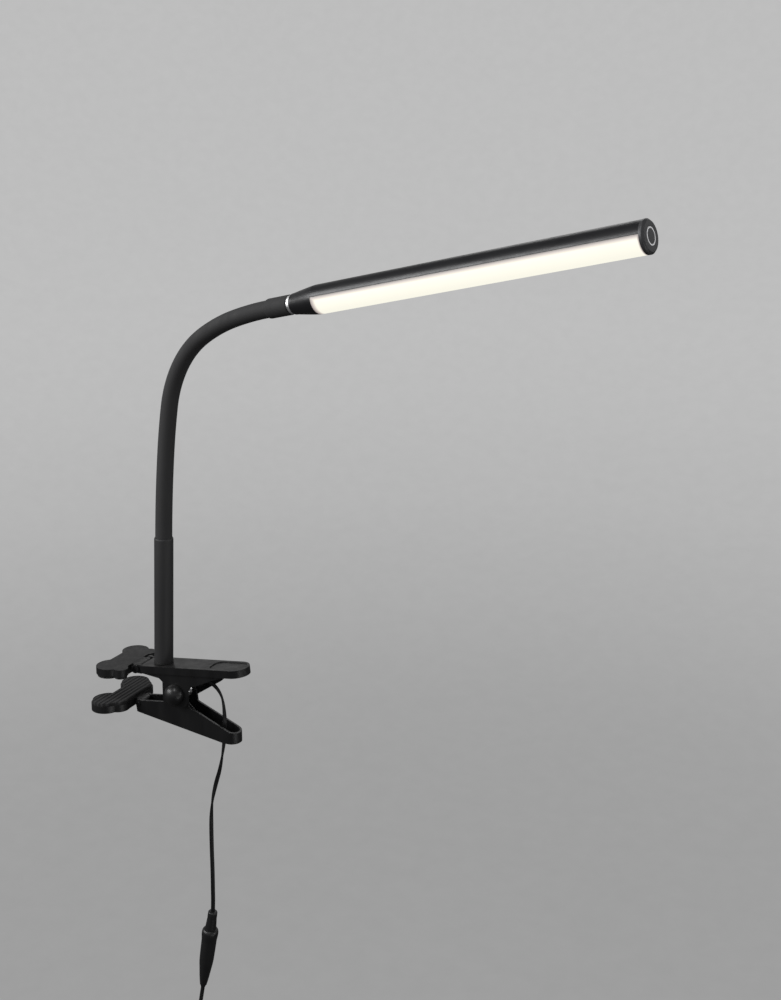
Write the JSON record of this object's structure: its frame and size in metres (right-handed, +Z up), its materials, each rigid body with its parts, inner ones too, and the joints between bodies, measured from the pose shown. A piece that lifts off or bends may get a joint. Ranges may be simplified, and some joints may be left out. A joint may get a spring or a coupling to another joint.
{
  "type": "clip on reading lamp",
  "caption": "Clip-on reading lamp: sprung two-lever clamp with swivelling feet, bendable neck, tubular LED head with touch switch, and a lead with inline connector and plug-in adapter.",
  "frame": {"origin": "centre of the upper rubber pad's gripping face, which rests on the top of the board that the lamp is clipped to", "axes": "+Z up, away from the board; +X from the jaws towards the handles, under the lamp's head; +Y to the far side, along the pivot pins"},
  "size_m": [0.4015, 0.1114, 0.7382],
  "materials": {
    "clamp_plastic": "moulded black plastic, satin",
    "foot_plastic": "moulded black plastic, satin",
    "pad_rubber": "soft black rubber, ribbed",
    "pin_steel": "blackened steel",
    "cap_plastic": "moulded black plastic, satin dome",
    "nylon": "natural nylon",
    "spring_steel": "spring wire, oiled",
    "seat_rubber": "black rubber",
    "zinc": "zinc plated",
    "brass_fitting": "turned brass",
    "sleeve_paint": "fine matt black powder coat",
    "neck_hose": "wound steel hose",
    "neck_rubber": "smooth matt silicone sheath",
    "bright_ring": "polished chrome",
    "head_paint": "fine satin black paint",
    "opal": "opal diffuser, lit from inside",
    "board_white": "white solder mask",
    "led_yellow": "phosphor over white package",
    "ring_light": "clear light guide",
    "board_green": "green circuit board",
    "lead_pvc": "black PVC two-core lead",
    "plug_pvc": "moulded black PVC",
    "nickel": "nickel plated",
    "adapter_plastic": "fine spark-textured black plastic"
  },
  "bodies": {
    "clamp": {"upper_lever": "clamp_plastic", "pivot_pin": "pin_steel", "pivot_caps": "cap_plastic", "pivot_spacers": "nylon", "spring_bush": "nylon", "torsion_spring": "spring_steel", "neck_seat": "seat_rubber", "seat_wedge": "zinc", "inner_lead": "lead_pvc", "cord_clip": "clamp_plastic", "clip_screw": "zinc", "upper_foot_pin": "pin_steel", "lamp_lead": "lead_pvc", "lead_plug": "plug_pvc", "plug_barrel": "nickel"},
    "lower_jaw": {"lower_lever": "clamp_plastic", "lower_foot_pin": "pin_steel"},
    "upper_shoe": {"upper_foot": "foot_plastic", "upper_pad": "pad_rubber"},
    "lower_shoe": {"lower_foot": "foot_plastic", "lower_pad": "pad_rubber"},
    "neck_0": {"neck_nipple": "brass_fitting", "neck_nut": "brass_fitting", "lower_sleeve": "sleeve_paint", "neck_core_0": "neck_hose", "neck_sheath_0": "neck_rubber"},
    "neck_1": {"neck_core_1": "neck_hose", "neck_sheath_1": "neck_rubber"},
    "neck_2": {"neck_core_2": "neck_hose", "neck_sheath_2": "neck_rubber"},
    "neck_3": {"neck_core_3": "neck_hose", "neck_sheath_3": "neck_rubber"},
    "neck_4": {"neck_core_4": "neck_hose", "neck_sheath_4": "neck_rubber"},
    "neck_5": {"neck_core_5": "neck_hose", "neck_sheath_5": "neck_rubber"},
    "neck_6": {"neck_core_6": "neck_hose", "neck_sheath_6": "neck_rubber", "neck_ferrule": "head_paint", "chrome_ring": "bright_ring", "swivel_shaft": "zinc", "swivel_clip": "spring_steel"},
    "head": {"head_cone": "head_paint", "head_housing": "head_paint", "diffuser": "opal", "led_board": "board_white", "led_chips": "led_yellow", "end_cap": "head_paint", "light_ring": "ring_light", "touch_board": "board_green"},
    "lead_end": {"inline_socket": "plug_pvc", "contact_pin": "nickel", "adapter_lead": "lead_pvc", "lead_coil": "lead_pvc", "coil_tie": "plug_pvc", "coil_drop": "lead_pvc", "adapter_boot": "plug_pvc", "adapter_body": "adapter_plastic", "adapter_face": "adapter_plastic", "adapter_pins": "nickel"}
  },
  "joints": [
    {"name": "jaw_open", "type": "hinge", "parent": "clamp", "child": "lower_jaw", "pos_m": [0.0475, 0, -0.009], "axis": [0, -1, 0], "range_deg": [-17, 24], "stiffness_Nm_per_rad": 1.2, "deforming": ["torsion_spring"]},
    {"name": "upper_foot_tilt", "type": "hinge", "parent": "clamp", "child": "upper_shoe", "pos_m": [0.0153, 0, 0.0046], "axis": [0, 1, 0], "range_deg": [-8, 8]},
    {"name": "lower_foot_tilt", "type": "hinge", "parent": "lower_jaw", "child": "lower_shoe", "pos_m": [0.0153, 0, -0.0226], "axis": [0, 1, 0], "range_deg": [-8, 8]},
    {"name": "neck_turn", "type": "hinge", "parent": "clamp", "child": "neck_0", "pos_m": [0.033, 0, 0.009], "axis": [0.0427, -0.0091, 0.999], "range_deg": [-150, 150]},
    {"name": "neck_bend_1", "type": "hinge", "parent": "neck_0", "child": "neck_1", "pos_m": [0.03879, -0.00123, 0.13205], "axis": [0.2079, 0.9781, 0], "range_deg": [-12, 12]},
    {"name": "neck_bend_2", "type": "hinge", "parent": "neck_1", "child": "neck_2", "pos_m": [0.04171, -0.00185, 0.16311], "axis": [0.2079, 0.9781, 0], "range_deg": [-12, 12]},
    {"name": "neck_bend_3", "type": "hinge", "parent": "neck_2", "child": "neck_3", "pos_m": [0.04622, -0.00281, 0.19396], "axis": [0.2079, 0.9781, 0], "range_deg": [-12, 12]},
    {"name": "neck_bend_4", "type": "hinge", "parent": "neck_3", "child": "neck_4", "pos_m": [0.05746, -0.0052, 0.22275], "axis": [0.2079, 0.9781, 0], "range_deg": [-12, 12]},
    {"name": "neck_bend_5", "type": "hinge", "parent": "neck_4", "child": "neck_5", "pos_m": [0.07905, -0.00979, 0.24445], "axis": [0.2079, 0.9781, 0], "range_deg": [-12, 12]},
    {"name": "neck_bend_6", "type": "hinge", "parent": "neck_5", "child": "neck_6", "pos_m": [0.10659, -0.01564, 0.25772], "axis": [0.2079, 0.9781, 0], "range_deg": [-12, 12]},
    {"name": "head_swivel", "type": "hinge", "parent": "neck_6", "child": "head", "pos_m": [0.1558, -0.0261, 0.2699], "axis": [0.9585, -0.2037, 0.1994], "range_deg": [-90, 90]},
    {"name": "plug_pull", "type": "slide", "parent": "clamp", "child": "lead_end", "axis": [-0.1616, 0, -0.9869], "range_m": [0, 0.012]}
  ]
}
